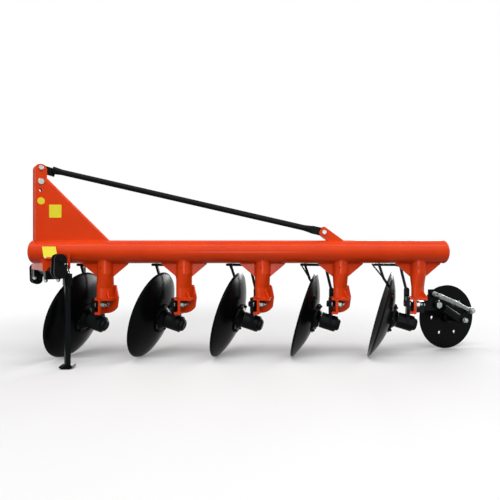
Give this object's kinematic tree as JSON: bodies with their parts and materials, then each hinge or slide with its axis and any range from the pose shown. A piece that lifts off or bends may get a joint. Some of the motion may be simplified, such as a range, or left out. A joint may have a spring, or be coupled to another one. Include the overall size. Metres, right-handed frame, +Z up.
{
  "type": "mounted disc plough",
  "caption": "Tractor-mounted disc plough: a tubular beam with dished discs on forked standards, a braced mast, a cross shaft hitch, a parking stand and a rear furrow wheel.",
  "frame": {"origin": "on the ground, below the middle of the machine's box", "axes": "+X along the beam pipe towards the rear furrow wheel, +Y away from the unploughed land, +Z up"},
  "size_m": [3.6435, 0.7492, 1.4263],
  "materials": {
    "orange_paint": "glossy orange-red machinery paint",
    "black_paint": "semi-gloss black paint",
    "disc_enamel": "glossy black enamel on pressed steel",
    "wheel_enamel": "glossy black enamel on flat plate",
    "zinc_plate": "bright zinc plating"
  },
  "bodies": {
    "root": {"arm_bolt": "zinc_plate", "brace_ear": "orange_paint", "brace_pin_front": "zinc_plate", "brace_pin_rear": "zinc_plate", "brace_tube": "black_paint", "chain": "zinc_plate", "clevis_far_inner": "black_paint", "clevis_far_outer": "black_paint", "clevis_near_inner": "black_paint", "clevis_near_outer": "black_paint", "cross_shaft": "black_paint", "end_cap_front": "orange_paint", "end_cap_rear": "orange_paint", "hitch_saddle": "orange_paint", "hub_housing_1": "black_paint", "hub_housing_2": "black_paint", "hub_housing_3": "black_paint", "hub_housing_4": "black_paint", "hub_housing_5": "black_paint", "link_pin_far": "zinc_plate", "link_pin_near": "zinc_plate", "main_pipe": "orange_paint", "mast_bar_far": "orange_paint", "mast_bar_near": "orange_paint", "mast_gusset": "orange_paint", "pipe_tab": "orange_paint", "scraper_1": "black_paint", "scraper_2": "black_paint", "scraper_3": "black_paint", "scraper_4": "black_paint", "scraper_5": "black_paint", "shaft_clamp_far": "black_paint", "shaft_clamp_near": "black_paint", "stand_sleeve": "black_paint", "standard_1": "orange_paint", "standard_2": "orange_paint", "standard_3": "orange_paint", "standard_4": "orange_paint", "standard_5": "orange_paint", "top_link_pin": "zinc_plate", "wheel_bracket": "black_paint"},
    "disc_1": {"disc_hub_1": "disc_enamel", "disc_blade_1": "disc_enamel"},
    "disc_2": {"disc_hub_2": "disc_enamel", "disc_blade_2": "disc_enamel"},
    "disc_3": {"disc_hub_3": "disc_enamel", "disc_blade_3": "disc_enamel"},
    "disc_4": {"disc_hub_4": "disc_enamel", "disc_blade_4": "disc_enamel"},
    "disc_5": {"disc_hub_5": "disc_enamel", "disc_blade_5": "disc_enamel"},
    "stand": {"stand_leg": "black_paint"},
    "wheel_arm": {"wheel_arm": "black_paint"},
    "furrow_wheel": {"furrow_wheel": "wheel_enamel"},
    "adjuster_barrel": {"adjuster_barrel": "zinc_plate"},
    "adjuster_screw": {"adjuster_screw": "zinc_plate"}
  },
  "joints": [
    {"name": "disc_1_spin", "type": "hinge", "parent": "root", "child": "disc_1", "pos_m": [-1.35761, 0.05373, 0.318], "axis": [0.9263, -0.2656, -0.2672], "continuous": true},
    {"name": "disc_2_spin", "type": "hinge", "parent": "root", "child": "disc_2", "pos_m": [-0.78461, 0.05373, 0.318], "axis": [0.9263, -0.2656, -0.2672], "continuous": true},
    {"name": "disc_3_spin", "type": "hinge", "parent": "root", "child": "disc_3", "pos_m": [-0.21161, 0.05373, 0.318], "axis": [0.9263, -0.2656, -0.2672], "continuous": true},
    {"name": "disc_4_spin", "type": "hinge", "parent": "root", "child": "disc_4", "pos_m": [0.36139, 0.05373, 0.318], "axis": [0.9263, -0.2656, -0.2672], "continuous": true},
    {"name": "disc_5_spin", "type": "hinge", "parent": "root", "child": "disc_5", "pos_m": [0.93439, 0.05373, 0.318], "axis": [0.9263, -0.2656, -0.2672], "continuous": true},
    {"name": "stand_slide", "type": "slide", "parent": "root", "child": "stand", "axis": [0, 0, 1], "range_m": [0, 0.25]},
    {"name": "wheel_arm_tilt", "type": "hinge", "parent": "root", "child": "wheel_arm", "pos_m": [1.41, 0.127, 0.377], "axis": [0.2588, -0.9659, 0], "range_deg": [-12, 12]},
    {"name": "furrow_wheel_spin", "type": "hinge", "parent": "wheel_arm", "child": "furrow_wheel", "pos_m": [1.56888, 0.31451, 0.258], "axis": [-0.2588, 0.9659, 0], "continuous": true},
    {"name": "adjuster_tilt", "type": "hinge", "parent": "root", "child": "adjuster_barrel", "pos_m": [1.37031, 0.07806, 0.466], "axis": [0.2588, -0.9659, 0], "range_deg": [-9.5, 9.5]},
    {"name": "adjuster_slide", "type": "slide", "parent": "adjuster_barrel", "child": "adjuster_screw", "axis": [0.891, 0.2387, -0.3862], "range_m": [-0.0135, 0.0135]}
  ],
  "couplings": [
    {"joint": "adjuster_tilt", "follows": "wheel_arm_tilt", "ratio": 0.77446},
    {"joint": "adjuster_slide", "follows": "wheel_arm_tilt", "m_per_rad": -0.06227}
  ]
}
